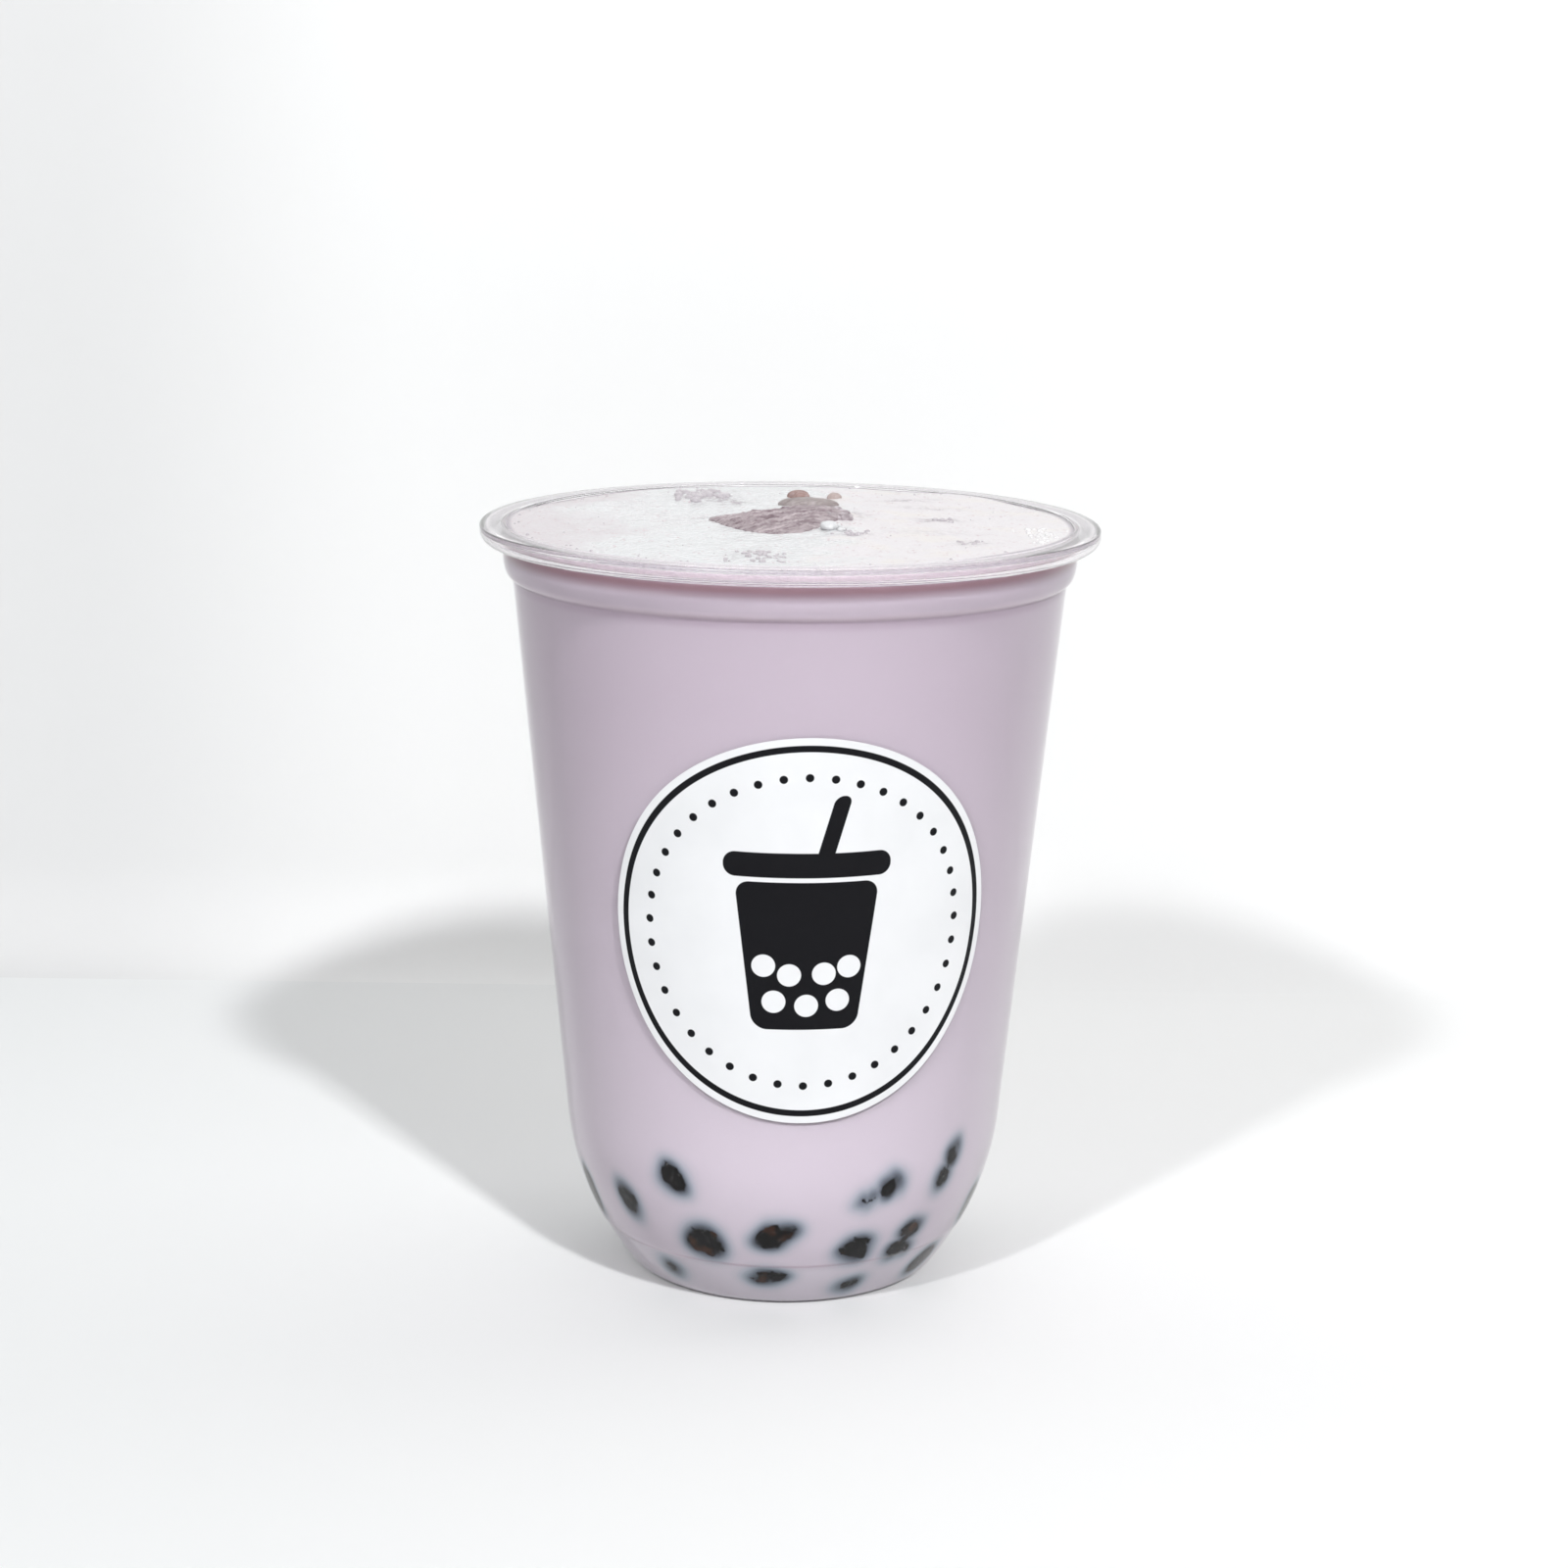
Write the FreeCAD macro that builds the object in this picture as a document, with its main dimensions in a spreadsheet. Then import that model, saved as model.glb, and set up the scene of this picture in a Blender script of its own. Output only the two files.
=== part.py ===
import FreeCAD, Part
import math
import os
import Sketcher

# Taro bubble tea in a clear plastic cup, as one parametric document.
# Millimetres, +Z up, the origin in the middle of the foot ring on the surface that carries the cup.

document = FreeCAD.newDocument("TaroBubbleTea")
sheet = document.addObject("Spreadsheet::Sheet", "sizes")

DRIVING_SIZES = {
    # The cup: a thin moulded shell with a flange, a neck, a shoulder, a tapered body and a round bottom.
    "cup_height": 118.1,
    "wall": 0.7,
    "rim_radius": 47.5,
    "flange_width": 3.5,
    "flange_thickness": 0.8,
    "rim_corner": 0.7,
    "rim_face": 0.4,
    "curl_radius": 1.6,
    "neck_length": 5.9,
    "shoulder_drop": 2.45,
    "shoulder_step": 1.47,
    "draft_angle": 5.54,
    "bowl_height": 25.0,
    "bowl_radius": 47.0,
    "ring_height": 8.0,
    "ring_step": 0.2,
    "foot_height": 1.0,
    "foot_round": 1.8,
    "foot_inset": 1.35,
    "foot_width": 1.6,
    "recess_depth": 1.2,
    "recess_slope": 1.2,
    "base_thickness": 0.8,
    # The drink: tea up to the neck, and a thin layer of foam that reaches almost to the rim.
    "foam_below_rim": 0.35,
    "foam_thickness": 2.6,
    "foam_crown": 0.45,
    "foam_wave": 0.22,
    # The taro: one large lump in the middle, a darker hump behind it and two small bits.
    "chunk_width": 21.8,
    "chunk_depth": 25.0,
    "chunk_thickness": 9.5,
    "chunk_rise": 2.2,
    "chunk_x": -0.9,
    "chunk_y": -3.5,
    "hump_width": 9.5,
    "hump_depth": 7.0,
    "hump_thickness": 5.5,
    "hump_rise": 1.7,
    "hump_x": 2.2,
    "hump_y": 17.0,
    "bit_width": 4.2,
    "bit_depth": 3.6,
    "bit_thickness": 2.6,
    "bit_rise": 1.3,
    "bit_spacing": 5.6,
    "bit_x": 1.4,
    "bit_y": 29.0,
    "small_bit_share": 0.72,
    # The label: a round paper sticker, laid round the tapered body.
    "label_radius": 30.0,
    "label_height": 63.0,
    "label_turn": 4.66,
    "label_thickness": 0.12,
}

for row, (alias, size) in enumerate(DRIVING_SIZES.items(), start=1):
    sheet.set(f"A{row}", alias)
    sheet.set(f"B{row}", str(size))
    sheet.setAlias(f"B{row}", alias)
document.recompute()


def size(name):
    """The number that the sheet holds under this alias."""
    return float(sheet.get(name))


def number(expression):
    """What an expression over the sheet's cells comes to."""
    return float(sheet.evalExpression(expression))


# Heights and radii that follow from the driving sizes, as expressions over the sheet.
NECK_RADIUS = "(sizes.rim_radius - sizes.flange_width)"
NECK_BOTTOM = "(sizes.cup_height - sizes.neck_length)"
SHOULDER_RADIUS = f"({NECK_RADIUS} - sizes.shoulder_step)"
SHOULDER_HEIGHT = f"({NECK_BOTTOM} - sizes.shoulder_drop)"
BOWL_TOP_RADIUS = f"({SHOULDER_RADIUS} - ({SHOULDER_HEIGHT} - sizes.bowl_height) * tan(sizes.draft_angle))"
# The round bottom is one arc, tangent to the tapered body where the body ends.
BOWL_CENTRE_R = f"({BOWL_TOP_RADIUS} - sizes.bowl_radius * cos(sizes.draft_angle))"
BOWL_CENTRE_Z = "(sizes.bowl_height + sizes.bowl_radius * sin(sizes.draft_angle))"
FLANGE_UNDERSIDE = "(sizes.cup_height - sizes.flange_thickness)"
CURL_HEIGHT = "(sizes.cup_height - sizes.rim_corner - sizes.rim_face)"
CURL_CENTRE_R = "(sizes.rim_radius - sizes.curl_radius)"
FOAM_LEVEL = "(sizes.cup_height - sizes.foam_below_rim)"
TEA_LEVEL = f"({FOAM_LEVEL} - sizes.foam_thickness)"


def bowl_radius_at(height, inset):
    """Radius of the round bottom at a height, for the arc that lies inset inside the outer one."""
    return f"({BOWL_CENTRE_R} + sqrt((sizes.bowl_radius - {inset})^2 - ({BOWL_CENTRE_Z} - {height})^2))"


FOOT_CORNER_R = bowl_radius_at("sizes.foot_height", "sizes.ring_step")
FOOT_RADIUS = f"({FOOT_CORNER_R} - sizes.foot_inset)"
FOOT_INNER = f"({FOOT_RADIUS} - sizes.foot_width)"


def step_round(radial, axial):
    """Radius of the arc that leaves a vertical wall and ends radial inside and axial below its start."""
    return f"(({radial})^2 + ({axial})^2) / (2 * ({radial}))"


def arc_between(start, end, radius):
    """The arc of this radius from start to end, turning left when radius is positive and right when not.
    Gives the arc, and whether it runs from start to end or, being drawn anticlockwise, the other way."""
    middle = (start + end) * 0.5
    chord = end - start
    left = FreeCAD.Vector(-chord.y, chord.x, 0).normalize()
    reach = math.sqrt(max(radius * radius - chord.Length * chord.Length / 4, 0))
    centre = middle + left * math.copysign(reach, radius)
    first, last = (start, end) if radius > 0 else (end, start)
    circle = Part.Circle(centre, FreeCAD.Vector(0, 0, 1), abs(radius))
    from_angle = math.atan2(first.y - centre.y, first.x - centre.x)
    to_angle = math.atan2(last.y - centre.y, last.x - centre.x)
    if to_angle < from_angle:
        to_angle += 2 * math.pi
    return Part.ArcOfCircle(circle, from_angle, to_angle), radius > 0


def turned_body(name, corners, rounds):
    """A body turned about the Z axis from a closed half section.
    corners are (radius, height) expressions in order; rounds gives, for a corner's number, the radius of
    the arc that leaves it towards the next corner, positive to the left of travel."""
    body = document.addObject("PartDesign::Body", name)
    body.Label = name
    plane = next(item for item in body.Origin.OriginFeatures if item.Role == "XZ_Plane")
    sketch = body.newObject("Sketcher::SketchObject", name + "_section")
    sketch.AttachmentSupport = (plane, [""])
    sketch.MapMode = "FlatFace"
    points = [FreeCAD.Vector(number(radius), number(height), 0) for radius, height in corners]
    ends = []
    for index, start in enumerate(points):
        end = points[(index + 1) % len(points)]
        if index in rounds:
            side, radius = rounds[index]
            arc, forward = arc_between(start, end, side * number(radius))
            edge = sketch.addGeometry(arc, False)
            ends.append((edge, 1, 2) if forward else (edge, 2, 1))
            fixed = sketch.addConstraint(Sketcher.Constraint("Radius", edge, number(radius)))
            sketch.setExpression(f"Constraints[{fixed}]", radius)
        else:
            edge = sketch.addGeometry(Part.LineSegment(start, end), False)
            ends.append((edge, 1, 2))
    for index, (edge, start, _) in enumerate(ends):
        before, _, finish = ends[index - 1]
        sketch.addConstraint(Sketcher.Constraint("Coincident", before, finish, edge, start))
    for index, (edge, start, _) in enumerate(ends):
        for kind, axis, expression in zip(("DistanceX", "DistanceY"), (-2, -1), corners[index]):
            if expression == "0":
                sketch.addConstraint(Sketcher.Constraint("PointOnObject", edge, start, axis))
                continue
            place = Sketcher.Constraint(kind, -1, 1, edge, start, number(expression))
            fixed = sketch.addConstraint(place)
            sketch.setExpression(f"Constraints[{fixed}]", expression)
    turn = body.newObject("PartDesign::Revolution", name + "_turn")
    turn.Profile = sketch
    turn.ReferenceAxis = (sketch, ["V_Axis"])
    turn.Angle = 360
    sketch.Visibility = False
    return body


# The cup's outside, as a solid: recessed base, foot ring, round bottom with its step, body, shoulder,
# neck, and the flange whose edge turns down and in.
OUTSIDE = [
    ("0", "sizes.recess_depth"),
    (f"{FOOT_INNER} - sizes.recess_slope", "sizes.recess_depth"),
    (FOOT_INNER, "0"),
    (FOOT_RADIUS, "0"),
    (FOOT_CORNER_R, "sizes.foot_height"),
    (bowl_radius_at("sizes.ring_height", "sizes.ring_step"), "sizes.ring_height"),
    (bowl_radius_at("sizes.ring_height", "0"), "sizes.ring_height"),
    (BOWL_TOP_RADIUS, "sizes.bowl_height"),
    (SHOULDER_RADIUS, SHOULDER_HEIGHT),
    (NECK_RADIUS, NECK_BOTTOM),
    (NECK_RADIUS, FLANGE_UNDERSIDE),
    ("sizes.rim_radius - sizes.wall", FLANGE_UNDERSIDE),
    ("sizes.rim_radius - sizes.wall", CURL_HEIGHT),
    (CURL_CENTRE_R, f"{CURL_HEIGHT} - sizes.curl_radius + sizes.wall"),
    (CURL_CENTRE_R, f"{CURL_HEIGHT} - sizes.curl_radius"),
    ("sizes.rim_radius", CURL_HEIGHT),
    ("sizes.rim_radius", "sizes.cup_height - sizes.rim_corner"),
    ("sizes.rim_radius - sizes.rim_corner", "sizes.cup_height"),
    ("0", "sizes.cup_height"),
]
OUTSIDE_ROUNDS = {
    3: (1, "sizes.foot_round"),
    4: (1, "sizes.bowl_radius - sizes.ring_step"),
    6: (1, "sizes.bowl_radius"),
    8: (1, step_round("sizes.shoulder_step", "sizes.shoulder_drop")),
    12: (-1, "sizes.curl_radius - sizes.wall"),
    14: (1, "sizes.curl_radius"),
    16: (1, "sizes.rim_corner"),
}
cup_outside = turned_body("cup_outside", OUTSIDE, OUTSIDE_ROUNDS)

# The space inside the cup. It keeps the wall's thickness from the outside and opens at the flange.
INNER_SHOULDER = f"({SHOULDER_RADIUS} - sizes.wall / cos(sizes.draft_angle))"
FLOOR = "(sizes.recess_depth + sizes.base_thickness)"
INSIDE = [
    ("0", FLOOR),
    (f"{FOOT_INNER} - sizes.recess_slope + sizes.wall", FLOOR),
    (f"{FOOT_INNER} + sizes.wall", "sizes.base_thickness"),
    (bowl_radius_at("sizes.base_thickness", "sizes.wall"), "sizes.base_thickness"),
    (
        f"{BOWL_TOP_RADIUS} - sizes.wall * cos(sizes.draft_angle)",
        "sizes.bowl_height + sizes.wall * sin(sizes.draft_angle)",
    ),
    (INNER_SHOULDER, SHOULDER_HEIGHT),
    (f"{NECK_RADIUS} - sizes.wall", NECK_BOTTOM),
    (f"{NECK_RADIUS} - sizes.wall", "sizes.cup_height"),
    ("0", "sizes.cup_height"),
]
INNER_STEP = f"{NECK_RADIUS} - sizes.wall - {INNER_SHOULDER}"
INSIDE_ROUNDS = {
    3: (1, "sizes.bowl_radius - sizes.wall"),
    5: (1, step_round(INNER_STEP, "sizes.shoulder_drop")),
}
cup_inside = turned_body("cup_inside", INSIDE, INSIDE_ROUNDS)

cup = document.addObject("Part::Cut", "cup")
cup.Base = cup_outside
cup.Tool = cup_inside
document.recompute()


def closed_curve(points):
    """A smooth closed wire through the points."""
    curve = Part.BSplineCurve()
    curve.interpolate(points, True)
    return Part.Wire(curve.toShape())


def lump(width, depth, thickness, lean, phase):
    """A worn lump of taro: stacked uneven outlines, widest a little above the middle, whose crest leans
    towards one side. Gives it centred on the axis with its top at height 0."""
    levels = 7
    steps = 28
    sections = []
    for level in range(levels):
        share = level / (levels - 1)
        fullness = math.sin(math.pi * (0.16 + 0.62 * share)) ** 0.8
        drift = lean * (share - 0.5) * width
        outline = []
        for step in range(steps):
            angle = 2 * math.pi * step / steps
            rough = 1 + 0.09 * math.sin(2 * angle + phase) + 0.07 * math.sin(3 * angle - 2 * phase)
            rough += 0.035 * math.sin(5 * angle + 3 * phase + 1.5 * share)
            along = 0.5 * width * fullness * rough * math.cos(angle) + drift
            across = 0.5 * depth * fullness * rough * math.sin(angle) + 0.4 * drift
            outline.append(FreeCAD.Vector(along, across, (share - 1) * thickness))
        sections.append(closed_curve(outline))
    return Part.makeLoft(sections, True, False)


foam_level = number(FOAM_LEVEL)
bit_share = size("small_bit_share")
TARO = {
    # name: (width, depth, thickness, lean, phase, x, y, rise above the foam)
    "taro_chunk": (
        size("chunk_width"), size("chunk_depth"), size("chunk_thickness"), 0.16, 0.7,
        size("chunk_x"), size("chunk_y"), size("chunk_rise"),
    ),
    "taro_hump": (
        size("hump_width"), size("hump_depth"), size("hump_thickness"), -0.1, 2.1,
        size("hump_x"), size("hump_y"), size("hump_rise"),
    ),
    "taro_bit_left": (
        size("bit_width"), size("bit_depth"), size("bit_thickness"), 0.08, 3.3,
        size("bit_x"), size("bit_y"), size("bit_rise"),
    ),
    "taro_bit_right": (
        size("bit_width") * bit_share, size("bit_depth") * bit_share, size("bit_thickness") * bit_share,
        -0.08, 5.2, size("bit_x") + size("bit_spacing"), size("bit_y"), size("bit_rise") * bit_share,
    ),
}
taro_pieces = []
for name, (width, depth, thickness, lean, phase, x, y, rise) in TARO.items():
    piece = document.addObject("Part::Feature", name)
    piece.Shape = lump(width, depth, thickness, lean, phase)
    piece.Placement = FreeCAD.Placement(
        FreeCAD.Vector(x, y, foam_level + rise), FreeCAD.Rotation()
    )
    taro_pieces.append(piece)

all_taro = document.addObject("Part::MultiFuse", "all_taro")
all_taro.Shapes = taro_pieces

# The tea fills the inside up to its level, round the lumps that float in it.
tea_space = document.addObject("Part::Cylinder", "tea_space")
tea_space.setExpression("Radius", "sizes.rim_radius")
tea_space.setExpression("Height", TEA_LEVEL)
tea_filling = document.addObject("Part::Common", "tea_filling")
tea_filling.Base = cup_inside
tea_filling.Tool = tea_space
tea = document.addObject("Part::Cut", "tea")
tea.Base = tea_filling
tea.Tool = all_taro


def foam_height(x, y):
    """Height of the foam: a low crown in the middle, and slow waves across it."""
    reach = number(NECK_RADIUS)
    crown = size("foam_crown") * max(1 - (x * x + y * y) / (reach * reach), -1)
    waves = math.sin(0.13 * x + 0.9) * math.cos(0.11 * y - 0.4) + 0.5 * math.sin(0.21 * y - 0.17 * x)
    return foam_level + crown + size("foam_wave") * waves


# The foam lies on the tea. Its top is one smooth uneven surface, and its side is the inside of the neck.
GRID = 15
half_grid = number("sizes.rim_radius")
grid = [half_grid * (2 * index / (GRID - 1) - 1) for index in range(GRID)]
surface = Part.BSplineSurface()
surface.interpolate([[FreeCAD.Vector(x, y, foam_height(x, y)) for y in grid] for x in grid])
foam_block = document.addObject("Part::Feature", "foam_block")
foam_block.Shape = surface.toShape().extrude(FreeCAD.Vector(0, 0, -4 * size("foam_thickness")))
above_tea = document.addObject("Part::Cylinder", "above_tea")
above_tea.setExpression("Radius", f"{NECK_RADIUS} - sizes.wall")
above_tea.setExpression("Height", "4 * sizes.foam_thickness")
above_tea.setExpression("Placement.Base.z", TEA_LEVEL)
foam_layer = document.addObject("Part::Common", "foam_layer")
foam_layer.Base = above_tea
foam_layer.Tool = foam_block
foam = document.addObject("Part::Cut", "foam")
foam.Base = foam_layer
foam.Tool = all_taro


def label_outline():
    """The sticker's edge on the cone, seen from the front.
    A circle is drawn on the cone unrolled flat, where a point has a distance from the tip and an angle,
    and is rolled back: the angle grows by one over the sine of the draft."""
    draft = math.radians(size("draft_angle"))
    tip = number(SHOULDER_HEIGHT) - number(SHOULDER_RADIUS) / math.tan(draft)
    middle = (size("label_height") - tip) / math.cos(draft)
    steps = 60
    edge = []
    for step in range(steps):
        angle = 2 * math.pi * step / steps
        side = size("label_radius") * math.cos(angle)
        ahead = middle + size("label_radius") * math.sin(angle)
        reach = math.hypot(side, ahead)
        turn = math.atan2(side, ahead) / math.sin(draft)
        edge.append(FreeCAD.Vector(
            reach * math.sin(draft) * math.sin(turn), 0, tip + reach * math.cos(draft)
        ))
    return edge


def cone_skin(offset):
    """The tapered body's cone as a solid, offset outwards along its normal."""
    draft = math.radians(size("draft_angle"))
    low = size("bowl_height")
    high = number(SHOULDER_HEIGHT)
    outward = offset / math.cos(draft)
    return Part.makeCone(
        number(BOWL_TOP_RADIUS) + outward, number(SHOULDER_RADIUS) + outward, high - low,
        FreeCAD.Vector(0, 0, low),
    )


# The label is what the outline cuts, from front to middle, out of a skin of the paper's thickness.
skin = cone_skin(size("label_thickness")).cut(cone_skin(0))
stamp = Part.Face(closed_curve(label_outline())).extrude(FreeCAD.Vector(0, -size("rim_radius"), 0))
label = document.addObject("Part::Feature", "label")
label.Shape = skin.common(stamp).Solids[0]
label.Placement = FreeCAD.Placement(
    FreeCAD.Vector(), FreeCAD.Rotation(FreeCAD.Vector(0, 0, 1), size("label_turn"))
)

document.recompute()
for item in document.Objects:
    if {"Invalid", "Error"} & set(item.State):
        raise RuntimeError(f"{item.Label} did not build: {item.State}")

os.makedirs("parts", exist_ok=True)
for piece in [cup, tea, foam, label] + taro_pieces:
    shape = piece.Shape
    if shape.isNull() or not shape.isValid() or len(shape.Solids) != 1:
        raise RuntimeError(f"{piece.Label} is not one valid solid")
    shape.exportStep(f"parts/{piece.Label}.step")
    box = shape.BoundBox
    print(f"{piece.Label}: {shape.Volume:.1f} mm3, z {box.ZMin:.2f} to {box.ZMax:.2f}")
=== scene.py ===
import bpy
import numpy as np
from mathutils import Matrix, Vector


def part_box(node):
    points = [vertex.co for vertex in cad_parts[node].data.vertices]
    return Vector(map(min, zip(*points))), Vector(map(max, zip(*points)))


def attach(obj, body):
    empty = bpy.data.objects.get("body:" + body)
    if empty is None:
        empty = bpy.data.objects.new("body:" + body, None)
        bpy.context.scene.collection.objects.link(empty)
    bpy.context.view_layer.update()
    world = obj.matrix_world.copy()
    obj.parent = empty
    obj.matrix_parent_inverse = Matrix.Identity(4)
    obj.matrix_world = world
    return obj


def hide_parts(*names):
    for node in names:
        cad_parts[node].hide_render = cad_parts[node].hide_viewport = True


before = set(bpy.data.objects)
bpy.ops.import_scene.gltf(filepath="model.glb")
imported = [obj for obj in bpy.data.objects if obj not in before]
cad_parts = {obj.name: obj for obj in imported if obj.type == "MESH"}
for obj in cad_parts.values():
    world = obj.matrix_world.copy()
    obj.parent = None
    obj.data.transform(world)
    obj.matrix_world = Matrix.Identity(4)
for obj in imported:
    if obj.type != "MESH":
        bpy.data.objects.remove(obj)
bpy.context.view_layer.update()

# --- Cup -------------------------------------------------------------------------------------
# A thin clear cup of polypropylene, moulded in one piece: a recessed base on a foot ring, a round
# bottom with a fine step, a tapered body, a shoulder, a neck, and a flat flange whose edge is turned
# down and in. The wall is the same all over, and everything turns about the Z axis.
MM = 0.001
cup_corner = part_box("cup")[1]
cup_height = cup_corner.z
rim_radius = cup_corner.x
wall = 0.7 * MM
draft = np.radians(5.54)
flange_width = 3.5 * MM
flange_thickness = 0.8 * MM
rim_corner = 0.7 * MM
curl_drop = 1.1 * MM
curl_radius = 1.6 * MM
neck_length = 5.9 * MM
shoulder_step = 1.47 * MM
shoulder_drop = 2.45 * MM
curl_height = cup_height - curl_drop
neck_radius = rim_radius - flange_width
neck_bottom = cup_height - neck_length
shoulder_radius = neck_radius - shoulder_step
shoulder_height = neck_bottom - shoulder_drop
bowl_height = 25 * MM
bowl_radius = 47 * MM
bowl_top = shoulder_radius - (shoulder_height - bowl_height) * np.tan(draft)
bowl_centre = np.array([bowl_top - bowl_radius * np.cos(draft), bowl_height + bowl_radius * np.sin(draft)])
ring_height = 8 * MM
ring_step = 0.2 * MM
foot_height = 1 * MM
foot_inset = 1.35 * MM
foot_width = 1.6 * MM
recess_depth = 1.2 * MM
recess_slope = 1.2 * MM
base_thickness = 0.8 * MM
floor_height = recess_depth + base_thickness
CUP_COLUMNS = 288


def bowl(inset, low, high, steps):
    """The round bottom's profile from height low to height high: one arc about the bowl's centre, of the
    bowl's radius less inset, stepped evenly in angle."""
    radius = bowl_radius - inset
    turn = np.arcsin((np.array([low, high]) - bowl_centre[1]) / radius)
    angle = np.linspace(turn[0], turn[1], steps)
    return bowl_centre + radius * np.stack([np.cos(angle), np.sin(angle)], 1)


def eased(corners, steps=5):
    """A profile with its corners eased. Each corner is (radius, height, ease): it is cut back along both of
    its sides by ease, and the parabola that has the corner as its control point bridges the cut."""
    corners = np.array(corners)
    points = [corners[:1, :2]]
    share = np.linspace(0, 1, steps)[:, None]
    for before, (radius, height, ease), after in zip(corners[:-2], corners[1:-1], corners[2:]):
        corner = np.array([radius, height])
        to_before, to_after = before[:2] - corner, after[:2] - corner
        first = corner + to_before * min(ease / np.linalg.norm(to_before), 0.5)
        last = corner + to_after * min(ease / np.linalg.norm(to_after), 0.5)
        points.append((1 - share) ** 2 * first + 2 * share * (1 - share) * corner + share ** 2 * last)
    points.append(corners[-1:, :2])
    return np.vstack(points)


def straight(start, end, steps):
    """Evenly spaced points from start to end, without the two ends."""
    share = np.linspace(0, 1, steps + 2)[1:-1, None]
    return np.array(start) * (1 - share) + np.array(end) * share


def new_piece(name, points, faces, smooth_below=40.0):
    """A mesh object at the origin from arrays of points and faces, shaded smooth where two faces meet at
    less than the given angle in degrees. It rides on the one body."""
    mesh = bpy.data.meshes.new(name)
    mesh.from_pydata(np.asarray(points, float), [], faces)
    mesh.validate()
    mesh.shade_smooth()
    mesh.set_sharp_from_angle(angle=np.radians(smooth_below))
    piece = bpy.data.objects.new(name, mesh)
    bpy.context.scene.collection.objects.link(piece)
    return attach(piece, "root")


def net(rows, columns, first=0, around=True):
    """The quads of a grid of points numbered row by row from first. Each joins a point to the next column
    and the next row, and around closes the last column on the first one."""
    row, column = np.meshgrid(np.arange(rows - 1), np.arange(columns - (not around)), indexing="ij")
    ahead = (column + 1) % columns
    quads = [row * columns + column, row * columns + ahead,
             (row + 1) * columns + ahead, (row + 1) * columns + column]
    return (first + np.stack(quads, -1).reshape(-1, 4)).tolist()


def closed(rows, columns, from_top):
    """The faces of a closed shape whose points are a pole, then rows of columns, then the other pole.
    from_top says that the first pole is the upper one, and the faces look outwards either way."""
    faces = net(rows, columns, first=1)
    end = 1 + (rows - 1) * columns
    if from_top:
        faces = [face[::-1] for face in faces]
    for column in range(columns):
        near, far = column, (column + 1) % columns
        if from_top:
            near, far = far, near
        faces.append((0, 1 + far, 1 + near))
        faces.append((end + columns, end + near, end + far))
    return faces


def turned(profile, columns):
    """Points and faces of a closed shape turned about Z. The profile starts and ends on the axis and runs
    with the outside on its right; x is radius times cosine and y radius times sine of the turn."""
    turn = np.linspace(0, 2 * np.pi, columns, endpoint=False)
    radius, height = profile[1:-1, 0], profile[1:-1, 1]
    ring = np.stack([np.outer(radius, np.cos(turn)), np.outer(radius, np.sin(turn)),
                     np.outer(height, np.ones(columns))], -1).reshape(-1, 3)
    points = np.vstack([[0, 0, profile[0, 1]], ring, [0, 0, profile[-1, 1]]])
    return points, closed(len(radius), columns, from_top=False)


def node(tree, kind, inputs=None, **settings):
    """Adds a shader node. inputs gives each socket a plain value, or the output that feeds it."""
    made = tree.nodes.new("ShaderNode" + kind)
    for key, setting in settings.items():
        setattr(made, key, setting)
    for key, source in (inputs or {}).items():
        if isinstance(source, bpy.types.NodeSocket):
            tree.links.new(source, made.inputs[key])
        else:
            made.inputs[key].default_value = source
    return made


def new_material(name, plain):
    """A material with one Principled shader, whose own sockets take the plain values."""
    material = bpy.data.materials.new(name)
    material.use_nodes = True
    tree = material.node_tree
    shader = tree.nodes["Principled BSDF"]
    for key, value in plain.items():
        shader.inputs[key].default_value = value
    return material, tree, shader


def place(tree, scale):
    """Object coordinates times scale, so that 1000 over a size in millimetres gives that size as a unit."""
    where = node(tree, "TexCoord").outputs["Object"]
    return node(tree, "VectorMath", {0: where, 1: (scale, scale, scale)}, operation="MULTIPLY").outputs[0]


def millimetres(tree, axis):
    """The Object coordinate along an axis, 0 to 2, in millimetres."""
    return node(tree, "SeparateXYZ", {0: place(tree, 1 / MM)}).outputs[axis]


def from_axis(tree):
    """The distance from the Z axis in millimetres."""
    level = node(tree, "VectorMath", {0: place(tree, 1 / MM), 1: (1, 1, 0)}, operation="MULTIPLY").outputs[0]
    return node(tree, "VectorMath", {0: level}, operation="LENGTH").outputs[1]


def noise(tree, size, detail=2.0, roughness=0.5):
    """Noise whose features are about size across, in metres, as a value from 0 to 1."""
    made = node(tree, "TexNoise", {"Vector": place(tree, 1 / size), "Scale": 1.0, "Detail": detail,
                                   "Roughness": roughness})
    return made.outputs["Fac"]


def span(tree, value, low, high, to_low=0.0, to_high=1.0, smooth=False):
    """The value's range from low to high carried over to to_low to to_high, and held outside it."""
    kind = "SMOOTHSTEP" if smooth else "LINEAR"
    made = node(tree, "MapRange", {"Value": value, "From Min": low, "From Max": high, "To Min": to_low,
                                   "To Max": to_high}, interpolation_type=kind)
    return made.outputs["Result"]


def blended(tree, share, first, second, blend="MIX"):
    """Two colours mixed by share; each is a colour or an output."""
    made = tree.nodes.new("ShaderNodeMix")
    made.data_type = "RGBA"
    made.blend_type = blend
    for key, source in ((0, share), (6, first), (7, second)):
        if isinstance(source, bpy.types.NodeSocket):
            tree.links.new(source, made.inputs[key])
        else:
            made.inputs[key].default_value = source
    return made.outputs[2]


def bumped(tree, shader, height, depth):
    """Feeds the shader's normal with a bump whose height of 0 to 1 stands for depth, in metres."""
    bump = node(tree, "Bump", {"Height": height, "Strength": 1.0, "Distance": depth})
    tree.links.new(bump.outputs["Normal"], shader.inputs["Normal"])


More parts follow.
